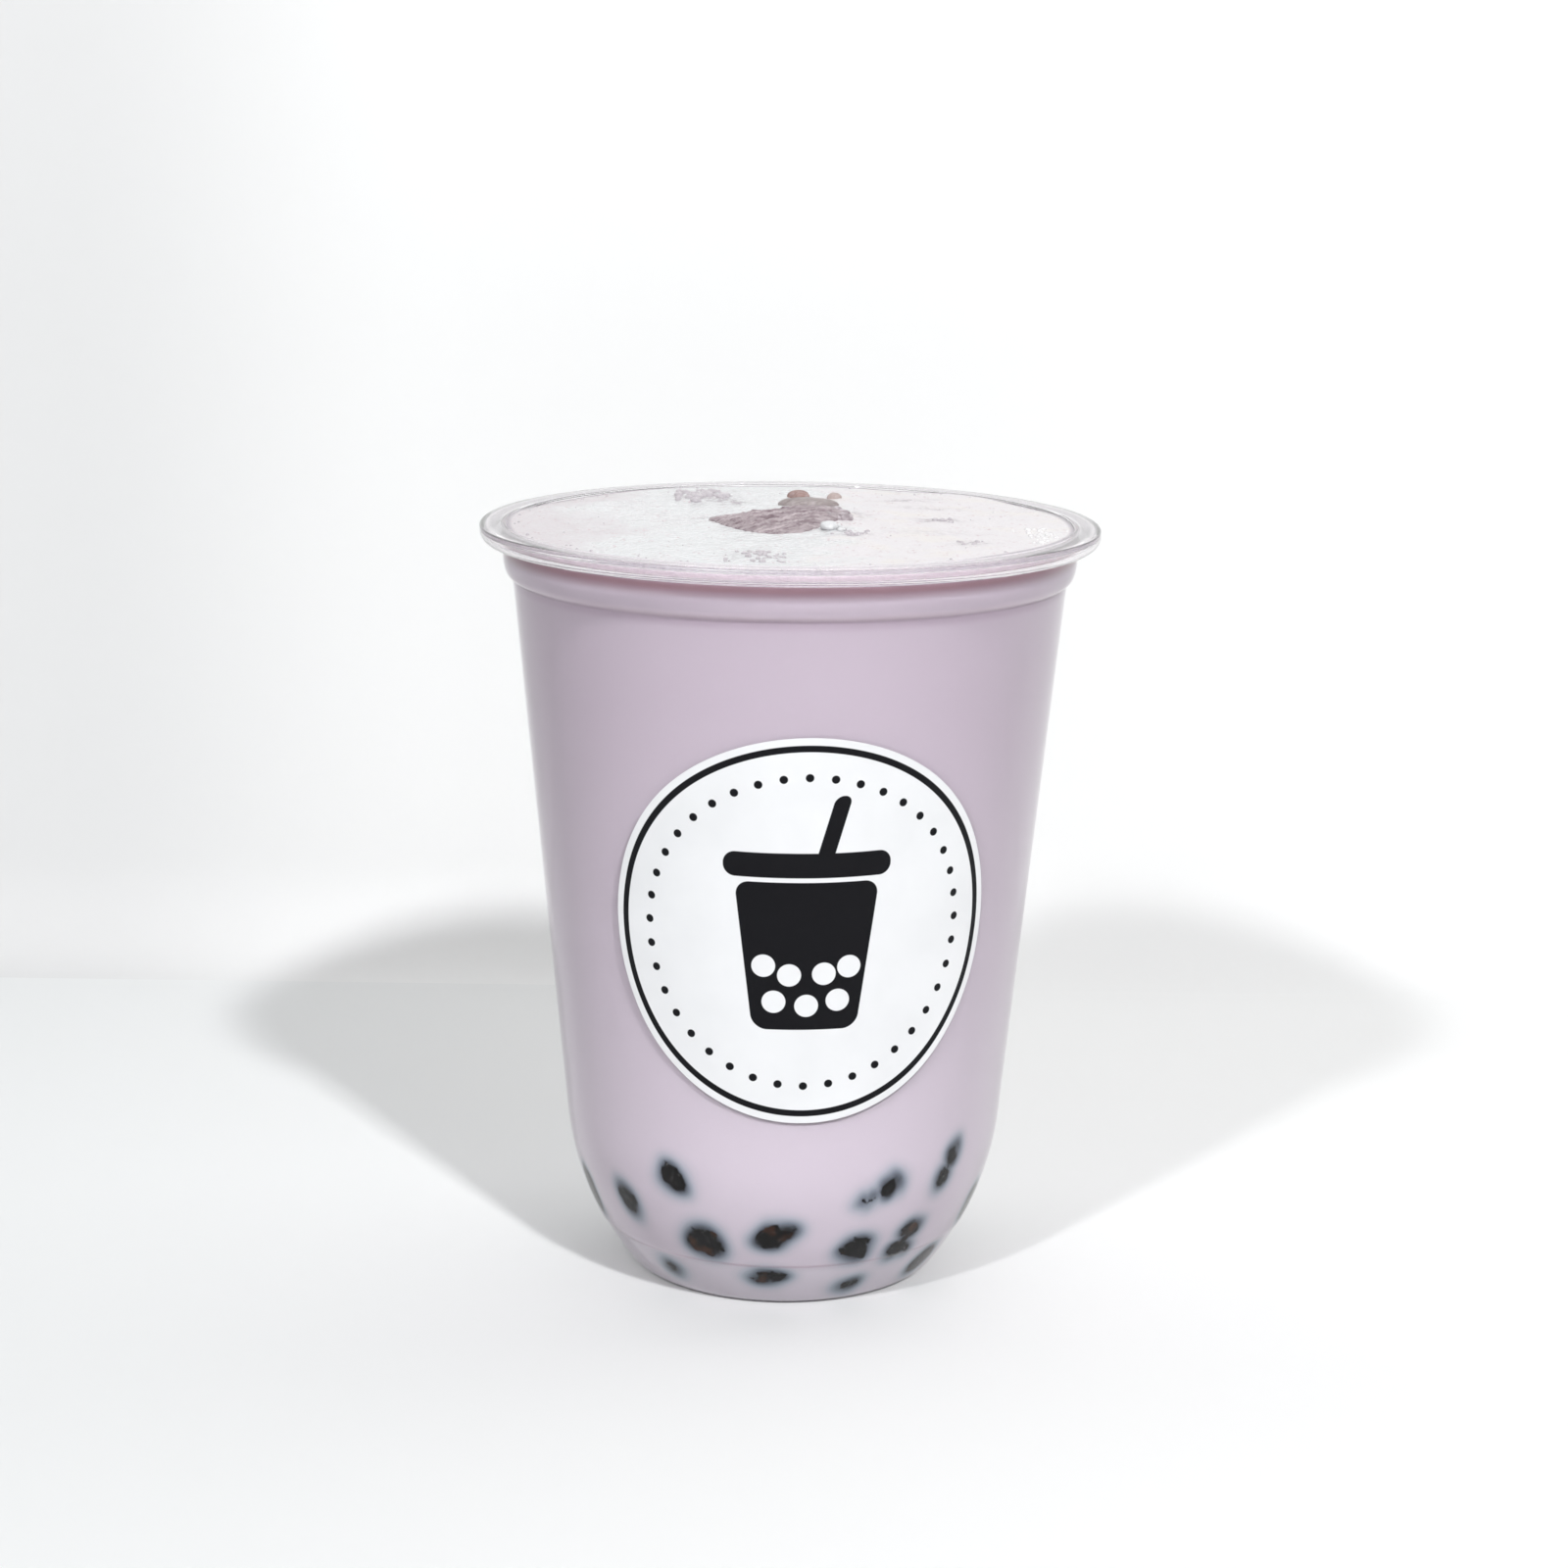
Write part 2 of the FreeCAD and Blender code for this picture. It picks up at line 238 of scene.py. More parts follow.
foot_corner = bowl(ring_step, foot_height, ring_height, 2)[0]
foot_radius = foot_corner[0] - foot_inset
foot_inner = foot_radius - foot_width
base = eased([(0, recess_depth, 0), (foot_inner - recess_slope, recess_depth, 0.5 * MM),
              (foot_inner, 0, 0.3 * MM), (foot_radius, 0, 0.6 * MM), (foot_corner[0], foot_corner[1], 0)])
curl_centre = np.array([rim_radius - curl_radius, curl_height])
quarter = np.linspace(0, -np.pi / 2, 14)
curl = np.stack([np.cos(quarter), np.sin(quarter)], 1)
under_flange = cup_height - flange_thickness
lip = np.vstack([
    eased([(shoulder_radius, shoulder_height, 0), (neck_radius - 0.5 * MM, neck_bottom - 1.8 * MM, 0.7 * MM),
           (neck_radius, neck_bottom, 0.9 * MM), (neck_radius, under_flange, 0.35 * MM),
           (rim_radius - wall, under_flange, 0.4 * MM), (rim_radius - wall, curl_height, 0)], 6)[1:],
    curl_centre + (curl_radius - wall) * curl[1:],
    curl_centre + curl_radius * curl[::-1],
    eased([(rim_radius, curl_height, 0), (rim_radius, cup_height, rim_corner),
           (neck_radius - wall, cup_height, 0.5 * MM), (neck_radius - wall, neck_bottom, 0)], 6)[1:],
])


def inner_profile(inset):
    """The inside of the cup, set into the wall by inset: the neck and body going down, and the bowl below
    them down to the edge of the floor."""
    top = np.array([shoulder_radius - wall / np.cos(draft) + inset, shoulder_height])
    foot = bowl(wall - inset, bowl_height, bowl_height, 2)[0]
    neck = eased([(neck_radius - wall + inset, neck_bottom + 1 * MM, 0),
                  (neck_radius - wall + inset, neck_bottom, 0.9 * MM),
                  (neck_radius - wall + inset - 0.5 * MM, neck_bottom - 1.8 * MM, 0.7 * MM),
                  (top[0], top[1], 0.4 * MM), (foot[0], foot[1], 0)], 6)
    return neck, bowl(wall - inset, bowl_height, base_thickness, 40)


neck_down, bowl_down = inner_profile(0)
cup_profile = np.vstack([
    base[:-1],
    bowl(ring_step, foot_height, ring_height, 14),
    bowl(0, ring_height + 0.12 * MM, bowl_height, 30),
    straight((bowl_top, bowl_height), (shoulder_radius, shoulder_height), 8),
    (shoulder_radius, shoulder_height),
    lip,
    neck_down[1:-1],
    straight(neck_down[-2], neck_down[-1], 8),
    bowl_down,
    eased([tuple(bowl_down[-1]) + (0,), (foot_inner + wall, base_thickness, 0.3 * MM),
           (foot_inner - recess_slope + wall, floor_height, 0.5 * MM), (0, floor_height, 0)])[1:],
])
cup = new_piece("cup_shell", *turned(cup_profile, CUP_COLUMNS), smooth_below=50)
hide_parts("cup")

PLASTIC_TONE = (0.97, 0.965, 0.975, 1)
plastic, tree, shader = new_material("clear_polypropylene", {
    "Base Color": PLASTIC_TONE, "Transmission Weight": 1.0, "IOR": 1.49, "Specular IOR Level": 0.3})
tree.links.new(span(tree, noise(tree, 14 * MM, 3), 0.3, 0.75, 0.02, 0.05), shader.inputs["Roughness"])
# Painted shade: the clear flange is tinted a darker grey over its flat top and a paler grey over its curl,
# for the darker look of the flange.
out = from_axis(tree)
in_flange = span(tree, out, neck_radius / MM + 0.2, neck_radius / MM + 0.6)
curl_start = (rim_radius - curl_radius) / MM
in_curl = span(tree, out, curl_start - 0.2, curl_start + 0.3)
flange_shade_tint = blended(tree, in_curl, (0.60, 0.57, 0.60, 1), (0.90, 0.87, 0.89, 1))
tree.links.new(blended(tree, in_flange, PLASTIC_TONE, flange_shade_tint), shader.inputs["Base Color"])
gleam = blended(tree, in_flange, (0.50, 0.49, 0.50, 1), (0.35, 0.34, 0.35, 1))
tree.links.new(gleam, shader.inputs["Specular Tint"])
shadow_ray = node(tree, "LightPath").outputs["Is Shadow Ray"]
clear = node(tree, "BsdfTransparent", {"Color": (0.8, 0.8, 0.81, 1)})
mixed = node(tree, "MixShader", {0: shadow_ray, 1: shader.outputs[0], 2: clear.outputs[0]})
tree.links.new(mixed.outputs[0], tree.nodes["Material Output"].inputs["Surface"])
cup.data.materials.append(plastic)

# --- Tapioca pearls --------------------------------------------------------------------------
# Chewy dark balls of boiled tapioca, eight to nine millimetres across and not quite round. They have
# sunk to the bottom, where some press against the clear wall. Each is (turn from the front, height of
# the touching point, half length, half width, slant, gap to the wall), in degrees and millimetres. The
# gap is negative where the wall presses the pearl flat.
in_wall = 0.25 * MM
under_skin = 0.05 * MM
PEARLS = [
    (-70.0, 13.8, 4.4, 2.6, 100, -0.7), (-46.5, 15.8, 4.6, 2.7, -62, -0.3), (-29, 22.2, 4.0, 3.8, 0, -0.4),
    (-22, 11.8, 4.6, 4.2, 75, -0.55), (-1.5, 14.2, 4.6, 3.3, 25, -0.35), (29.5, 21.4, 3.4, 3.0, 35, -0.12),
    (25.5, 20.2, 3.6, 2.2, 30, 0.35), (22.5, 19.4, 2.4, 2.0, 30, 0.3), (50.5, 24.2, 3.0, 2.0, 65, -0.06),
    (47.5, 20.4, 3.2, 2.4, 70, -0.15), (70.5, 12.6, 4.0, 2.4, 75, -0.7), (21.5, 10.8, 3.9, 3.5, 40, -0.32),
    (39.5, 12.6, 3.2, 2.4, 30, -0.12), (37.2, 9.2, 3.4, 2.8, 30, -0.22), (38.2, 10.9, 2.4, 1.8, 80, -0.02),
    (54.0, 4.6, 4.2, 2.8, 35, -0.45), (-38, 5.0, 3.0, 2.4, -10, -0.05), (-4, 6.0, 4.2, 2.3, 0, -0.12),
    (23.5, 3.7, 3.0, 2.2, 25, -0.06),
]
WALL_PEARLS, FLOOR_PEARLS, PEARL_SPACING = 50, 9, 6.5
draw = np.random.default_rng(11)
turns = [pearl[0] for pearl in PEARLS]
heights = [pearl[1] for pearl in PEARLS]
while len(PEARLS) < WALL_PEARLS:
    turn, height = draw.uniform(92, 268), draw.uniform(3.5, 26)
    apart = np.hypot((np.array(turns) % 360 - turn) * 0.55, np.array(heights) - height)
    if apart.min() > PEARL_SPACING:
        PEARLS.append((turn, height, draw.uniform(3.4, 4.6), draw.uniform(2.8, 4.2), draw.uniform(0, 180),
                       draw.uniform(-0.45, 0.4)))
        turns.append(turn)
        heights.append(height)


def wall_at(height):
    """Radius of the cup's inner face at a height, and the slope angle of its outward normal below level."""
    below = np.clip((height - bowl_centre[1]) / (bowl_radius - wall), -1, 1)
    on_bowl = bowl_centre[0] + (bowl_radius - wall) * np.sqrt(1 - below ** 2)
    on_cone = shoulder_radius - wall / np.cos(draft) - (shoulder_height - height) * np.tan(draft)
    in_bowl = height < bowl_height
    return np.where(in_bowl, on_bowl, on_cone), np.where(in_bowl, np.arcsin(below), -draft)


def pearl_reach(directions, halves, lumps):
    """Distance from a pearl's centre to its surface along unit directions in the pearl's own axes: the
    ellipsoid's, times one plus a few small sine waves over the direction."""
    waves, phases = lumps
    plain = 1 / np.linalg.norm(directions / halves, axis=-1)
    return plain * (1 + 0.028 * np.sin(directions @ waves.T + phases).sum(-1))


def draw_lumps(steepest):
    """Six random waves over the direction and their phases."""
    return draw.normal(0, steepest, (6, 3)), draw.uniform(0, 2 * np.pi, 6)


pearl_frames = []
for turn, height, long, short, slant, gap in PEARLS:
    radius, dip = wall_at(height * MM)
    turn = np.radians(turn)
    outward = np.array([np.sin(turn) * np.cos(dip), -np.cos(turn) * np.cos(dip), np.sin(dip)])
    sideways = np.array([np.cos(turn), np.sin(turn), 0])
    upward = np.cross(outward, sideways)
    upward *= np.sign(upward[2])
    lean = np.radians(slant)
    length_axis = np.cos(lean) * sideways + np.sin(lean) * upward
    width_axis = np.cos(lean) * upward - np.sin(lean) * sideways
    axes = np.stack([length_axis, width_axis, outward])
    halves = np.array([long, short, 0.9 * short]) * MM
    lumps = draw_lumps(2.6)
    touch = np.array([radius * np.sin(turn), -radius * np.cos(turn), height * MM])
    to_wall = pearl_reach(np.array([0.0, 0.0, 1.0]), halves, lumps) + gap * MM
    pearl_frames.append((touch - outward * to_wall, axes, halves, lumps))
for spot in range(FLOOR_PEARLS):
    turn, reach = 2.4 * spot, (4 + 5.6 * np.sqrt(spot)) * MM
    centre = np.array([reach * np.cos(turn), reach * np.sin(turn), floor_height + (3.8 + 0.1 * spot) * MM])
    pearl_frames.append((centre, np.eye(3), np.array([4.2, 3.9, 3.9]) * MM, draw_lumps(2.6)))


def ball(columns, down, foot):
    """Points and faces of a unit ball: a top pole, rings of columns points at the angles down from the top,
    and a lower pole at the height foot."""
    around, tilt = np.meshgrid(np.linspace(0, 2 * np.pi, columns, endpoint=False), down)
    rings = np.stack([np.sin(tilt) * np.cos(around), np.sin(tilt) * np.sin(around), np.cos(tilt)], -1)
    points = np.vstack([[0, 0, 1], rings.reshape(-1, 3), [0, 0, foot]])
    return points, closed(len(down), columns, from_top=True)


sphere, ball_faces = ball(36, np.linspace(0, np.pi, 19)[1:-1], -1)
pearl_points, pearl_faces = [], []
for centre, axes, halves, lumps in pearl_frames:
    skin = centre + (sphere * pearl_reach(sphere, halves, lumps)[:, None]) @ axes
    radius = np.hypot(skin[:, 0], skin[:, 1])
    limit = wall_at(skin[:, 2])[0] + in_wall - under_skin
    skin[:, :2] *= np.minimum(1, limit / np.maximum(radius, 1e-9))[:, None]
    skin[:, 2] = np.maximum(skin[:, 2], floor_height - 0.2 * MM)
    first = sum(len(points) for points in pearl_points)
    pearl_points.append(skin)
    pearl_faces += [tuple(first + index for index in face) for face in ball_faces]
pearls = new_piece("tapioca_pearls", np.vstack(pearl_points), pearl_faces, 180)

tapioca, tree, shader = new_material("boiled_tapioca", {
    "Roughness": 0.3, "IOR": 1.42, "Specular IOR Level": 0.3})
brown = span(tree, noise(tree, 2.2 * MM, 3), 0.42, 0.7)
pearl_tone = blended(tree, brown, (0.010, 0.007, 0.006, 1), (0.06, 0.022, 0.012, 1))
tree.links.new(pearl_tone, shader.inputs["Base Color"])
bumped(tree, shader, noise(tree, 0.8 * MM, 3), 0.15 * MM)
pearls.data.materials.append(tapioca)

# --- Tea -------------------------------------------------------------------------------------
# Opaque pale mauve milk tea. It fills the cup up to the froth, and its skin reaches just into the wall so
# that no air shows. Where a pearl comes near the wall only a film of tea covers it, and the pearl
# darkens the tea there: first bluish grey, then almost black.
tea_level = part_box("tea")[1].z
neck_down = inner_profile(in_wall)[0]
tea_floor = floor_height - in_wall
channel = foot_inner + wall
channel_floor = base_thickness - in_wall
fine_bowl = bowl(wall - in_wall, bowl_height, channel_floor, 84)[::-1]
body_up = neck_down[-2] - neck_down[-1]
FINE_SHARE, TEA_COLUMNS = 0.13, 520
tea_profile = np.vstack([
    (0, tea_floor),
    straight((0, tea_floor), (channel - recess_slope, tea_floor), 34),
    (channel - recess_slope, tea_floor), (channel, channel_floor),
    fine_bowl,
    straight(neck_down[-1], neck_down[-1] + FINE_SHARE * body_up, 22),
    straight(neck_down[-1] + (FINE_SHARE + 0.01) * body_up, neck_down[-2], 9),
    neck_down[1:-1][::-1],
    (neck_down[0][0], neck_down[0][1]),
    (neck_down[0][0], tea_level),
    straight((neck_down[0][0], tea_level), (0, tea_level), 3),
    (0, tea_level),
])
tea_points, tea_faces = turned(tea_profile, TEA_COLUMNS)
FAR = 9.0
film = np.full(len(tea_points), FAR)
for centre, axes, halves, lumps in pearl_frames:
    away = tea_points - centre
    near = np.flatnonzero(np.linalg.norm(away, axis=1) < FAR * MM)
    distance = np.linalg.norm(away[near], axis=1)
    directions = (away[near] @ axes.T) / distance[:, None]
    cover = (distance - pearl_reach(directions, halves, lumps)) / MM
    film[near] = np.minimum(film[near], cover)
film -= in_wall / MM
tea = new_piece("milk_tea", tea_points, tea_faces, 60)
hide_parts("tea")
tea.data.attributes.new("film", "FLOAT", "POINT").data.foreach_set("value", film.astype(np.float32))


def math(tree, operation, first, second=0.0, clamp=False):
    """One number operation; each number is a value or an output."""
    return node(tree, "Math", {0: first, 1: second}, operation=operation, use_clamp=clamp).outputs[0]


def line_at(tree, up, height, reach):
    """1 where up is at a height in millimetres, falling smoothly to 0 at reach above and below it."""
    apart = math(tree, "ABSOLUTE", math(tree, "SUBTRACT", up, height))
    return span(tree, apart, 0, reach, 1.0, 0.0, smooth=True)


TEA_FILM = [
    # thickness of the tea over a pearl in millimetres, and the colour it gives
    (0.00, (0.040, 0.042, 0.050, 1)), (0.25, (0.120, 0.132, 0.165, 1)), (0.60, (0.280, 0.295, 0.350, 1)),
    (1.00, (0.430, 0.412, 0.475, 1)), (1.50, (0.520, 0.465, 0.525, 1)), (2.20, (0.555, 0.485, 0.550, 1)),
]
brew, tree, shader = new_material("taro_milk_tea", {
    "Roughness": 0.5, "IOR": 1.34, "Specular IOR Level": 0.05})
film_read = node(tree, "Attribute", attribute_name="film").outputs["Fac"]
ramp = node(tree, "ValToRGB", {"Fac": span(tree, film_read, 0, TEA_FILM[-1][0])})
stops = ramp.color_ramp.elements
stops[0].color, stops[1].color = TEA_FILM[0][1], TEA_FILM[-1][1]
for depth, colour in TEA_FILM[1:-1]:
    stops.new(depth / TEA_FILM[-1][0]).color = colour
ragged = span(tree, noise(tree, 1.7 * MM, 3, 0.65), 0.3, 0.7, -0.3, 0.3)
bare = span(tree, math(tree, "ADD", film_read, ragged), 0.0, 0.2, 1.0, 0.0, smooth=True)
brown = span(tree, noise(tree, 3.2 * MM, 3), 0.57, 0.7)
pearl_tone = blended(tree, brown, (0.002, 0.0015, 0.0015, 1), (0.040, 0.014, 0.006, 1))
specks = span(tree, noise(tree, 0.6 * MM, 3, 0.6), 0.63, 0.73, 0.0, 0.8)
pearl_tone = blended(tree, specks, pearl_tone, (0.16, 0.15, 0.155, 1))
tinted = blended(tree, bare, ramp.outputs["Color"], pearl_tone)
up = millimetres(tree, 2)
# Painted light: the tea is painted lighter towards the bottom, and lighter still below the fine step of the
# round bottom, standing in for light from below.
painted_low_light = blended(tree, span(tree, up, 12, 96), (1.22, 1.27, 1.23, 1), (1.0, 1.0, 1.0, 1))
painted_low_light = blended(tree, span(tree, up, 7.6, 8.2, 1.0, 0.0), painted_low_light, (1.27, 1.36, 1.30, 1))
graded = blended(tree, 1.0, tinted, painted_low_light, "MULTIPLY")
PAINTED_BANDS = [
    # height and half width in millimetres of a line on the tea, and its painted shade: painted shadow under
    # the flange, a painted highlight and painted shade at the shoulder, and painted shade at the round
    # bottom's fine step
    (114.5, 2.0, (0.56, 0.39, 0.40, 1)), (110.3, 1.0, (1.22, 1.20, 1.18, 1)),
    (109.2, 1.1, (0.92, 0.88, 0.91, 1)), (8.1, 0.45, (0.74, 0.64, 0.69, 1)),
]
for height, reach, shade in PAINTED_BANDS:
    line = line_at(tree, up, height, reach)
    graded = blended(tree, line, graded, blended(tree, 1.0, graded, shade, "MULTIPLY"))
cloud = span(tree, noise(tree, 26 * MM, 4, 0.6), 0.3, 0.7, 0.0, 0.16)
shaded = blended(tree, cloud, graded, (0.93, 0.90, 0.93, 1), "MULTIPLY")
tree.links.new(shaded, shader.inputs["Base Color"])
tea.data.materials.append(brew)

# --- Foam ------------------------------------------------------------------------------------
# A thin off-white froth of milk on the tea, pinkish where the tea shows through it. It is level with
# the flange, with slow waves, a fine grain of bubbles, and a low collar against each lump of taro.
LUMPS = ["taro_chunk", "taro_hump", "taro_bit_left", "taro_bit_right"]
lump_boxes = {name: [np.array(corner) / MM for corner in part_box(name)] for name in LUMPS}
foam_level = cup_height - 0.35 * MM
CROWN, WAVE, COLLAR = 0.45, 0.22, 0.12


def ripples(x, y, shortest, longest, count, seed):
    """A rough field of about -1 to 1: the mean of count sine waves of random direction, phase and length
    between shortest and longest, scaled up by the root of their number."""
    random = np.random.default_rng(seed)
    total = np.zeros_like(x)
    for _ in range(count):
        heading, phase = random.uniform(0, 2 * np.pi, 2)
        length = random.uniform(shortest, longest)
        total += np.sin(2 * np.pi * (x * np.cos(heading) + y * np.sin(heading)) / length + phase)
    return total / np.sqrt(count)


MARKS = [
    # a mound or stain on the froth: place across and ahead, half sizes, rise, and how dark, mm
    (-13.6, 26.5, 4.6, 6.5, 0.25, 1.3), (-9.0, 20.0, 2.2, 3.0, 0.15, 1.1), (-5.0, -35.2, 4.4, 3.8, 0.5, 0.5),
    (18.5, 25.0, 4.2, 1.8, 0.0, 0.9), (22.5, 17.0, 5.0, 1.4, 0.0, 0.5), (22.6, 4.0, 2.8, 2.2, 0.1, 1.6),
    (26.6, -20.0, 2.4, 2.2, 0.05, 1.2), (22.0, -10.0, 6.0, 2.0, 0.0, 0.35),
    (38.5, -11.0, 3.2, 7.0, 0.2, -0.6), (9.5, 6.0, 2.4, 4.5, 0.2, 0.8), (9.5, -13.5, 3.0, 1.2, 0.0, 0.8),
    (-13.0, 2.8, 2.6, 1.0, 0.05, 0.7),
]


def foam_top(x, y):
    """Height of the froth, in metres, over a point in millimetres: its level, a low crown in the middle,
    slow waves, finer ripples, and a collar that rises towards each lump's edge."""
    reach = neck_radius / MM
    height = CROWN * (1 - (x * x + y * y) / reach ** 2)
    height += WAVE * (np.sin(0.13 * x + 0.9) * np.cos(0.11 * y - 0.4) + 0.5 * np.sin(0.21 * y - 0.17 * x))
    calm = np.clip((reach - 0.7 - np.hypot(x, y)) / 4, 0, 1)
    height += calm * (0.07 * ripples(x, y, 3, 9, 9, 1) + 0.03 * ripples(x, y, 0.9, 2.2, 9, 2))
    for low, high in lump_boxes.values():
        middle, half = (low + high)[:2] / 2, (high - low)[:2] / 2
        share = np.hypot((x - middle[0]) / half[0], (y - middle[1]) / half[1])
        height += COLLAR * np.exp(-np.maximum(share - 0.9, 0) * half.mean() / 0.8)
    for across, ahead, half_x, half_y, rise, _ in MARKS:
        height += rise * np.exp(-((x - across) / half_x) ** 2 - ((y - ahead) / half_y) ** 2)
    return foam_level + height * MM


FOAM_COLUMNS = 400
foam_edge = neck_radius - wall + in_wall
reach = np.concatenate([np.linspace(0, 1, 130)[1:] * (foam_edge - 0.1 * MM), [foam_edge]])
turn = np.linspace(0, 2 * np.pi, FOAM_COLUMNS, endpoint=False)
foam_x, foam_y = np.outer(reach, np.cos(turn)), np.outer(reach, np.sin(turn))
foam_z = foam_top(foam_x / MM, foam_y / MM)
foam_z[-1] -= 0.15 * MM
foot = np.full(FOAM_COLUMNS, tea_level)
side = [np.stack([foam_x[-1], foam_y[-1], foot + rise * MM], -1) for rise in (0.8, -0.1)]
rings = np.vstack([np.stack([foam_x, foam_y, foam_z], -1).reshape(-1, 3)] + side)
foam_points = np.vstack([[0, 0, foam_top(np.zeros(1), np.zeros(1))[0]], rings, [0, 0, tea_level - 0.1 * MM]])
foam_faces = closed(len(reach) + 2, FOAM_COLUMNS, from_top=True)
foam = new_piece("milk_foam", foam_points, foam_faces, 60)
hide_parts("foam")


def stain_at(x, y):
    """How dark the froth is at a point in millimetres: the sum of the marks' bell curves."""
    return sum(dark * np.exp(-((x - across) / half_x) ** 2 - ((y - ahead) / half_y) ** 2)
               for across, ahead, half_x, half_y, _, dark in MARKS)


stain = stain_at(foam_points[:, 0] / MM, foam_points[:, 1] / MM)
foam.data.attributes.new("stain", "FLOAT", "POINT").data.foreach_set("value", stain.astype(np.float32))

froth, tree, shader = new_material("milk_froth", {"IOR": 1.35})
# The froth is pinkish to the left and to the right. Between them lies a greyer white band, smoother too; its
# colour is a painted sheen of reflected white light.
wavy = span(tree, noise(tree, 14 * MM, 3, 0.6), 0.2, 0.8, -16, 16)
shifted = math(tree, "ADD", millimetres(tree, 0), wavy)
left = span(tree, shifted, -34, -20)
right = span(tree, shifted, 2, 12)
cream = blended(tree, left, (0.71, 0.665, 0.685, 1), (0.765, 0.77, 0.78, 1))
cream = blended(tree, right, cream, (0.80, 0.765, 0.78, 1))
warm = span(tree, noise(tree, 8 * MM, 2), 0.52, 0.66, 0.0, 0.5)
cream = blended(tree, math(tree, "MULTIPLY", warm, right), cream, (0.82, 0.775, 0.735, 1))
mottled = span(tree, noise(tree, 1.5 * MM, 4, 0.75), 0.38, 0.62, -0.25, 1.1)
stain_read = node(tree, "Attribute", attribute_name="stain").outputs["Fac"]
stained = math(tree, "MULTIPLY", stain_read, mottled, clamp=True)
cream = blended(tree, stained, cream, (0.40, 0.355, 0.385, 1))
bright = math(tree, "MULTIPLY", stain_read, -1.0, clamp=True)
cream = blended(tree, bright, cream, (0.86, 0.855, 0.85, 1))
cells = node(tree, "TexVoronoi", {"Vector": place(tree, 1 / (0.75 * MM)), "Scale": 1.0}, feature="F1")
pits = span(tree, cells.outputs["Distance"], 0.08, 0.42, 1.0, 0.0)
sparse = span(tree, noise(tree, 2.4 * MM, 3), 0.5, 0.64, 0.0, 1.0)
cream = blended(tree, math(tree, "MULTIPLY", pits, sparse), cream, (0.58, 0.42, 0.45, 1))
# Painted shade: a grey line where the froth meets the wall, standing in for the dark edge of the cup's wall.
rim_shade = span(tree, from_axis(tree), 42.5, 43.1, 0.0, 0.8)
cream = blended(tree, rim_shade, cream, (0.42, 0.38, 0.42, 1))
# Painted shade: the side of the froth under the flange is painted darker and pinker, for the flange's
# shadow.
froth_side_shade = span(tree, millimetres(tree, 2), 116.9, 117.5, 1.0, 0.0)
tree.links.new(blended(tree, froth_side_shade, cream, (0.72, 0.64, 0.68, 1)), shader.inputs["Base Color"])
grain = math(tree, "ADD", cells.outputs["Distance"], noise(tree, 0.5 * MM, 3))
bumped(tree, shader, grain, 0.1 * MM)
sheen_band = math(tree, "SUBTRACT", left, right, clamp=True)
tree.links.new(span(tree, sheen_band, 0, 1, 0.45, 0.22), shader.inputs["Roughness"])
foam.data.materials.append(froth)

# --- Taro ------------------------------------------------------------------------------------
# Lumps of mashed taro root float in the froth: a large mauve-brown one with a layered, striated face,
# a darker hump behind it and two small reddish bits. Each is a rough dome over its own outline.
TARO_LOOK = {
    # name: (turn of the striations, outline phase, their height in mm, colours low and high)
    "taro_chunk": (0.7, 0.7, 0.26, (0.22, 0.16, 0.18, 1), (0.60, 0.52, 0.54, 1)),
    "taro_hump": (0.5, 2.1, 0.05, (0.27, 0.225, 0.22, 1), (0.44, 0.385, 0.38, 1)),
    "taro_bit_left": (0.4, 3.3, 0.05, (0.30, 0.18, 0.16, 1), (0.46, 0.33, 0.31, 1)),
    "taro_bit_right": (0.9, 5.2, 0.04, (0.42, 0.32, 0.30, 1), (0.58, 0.49, 0.47, 1)),
}


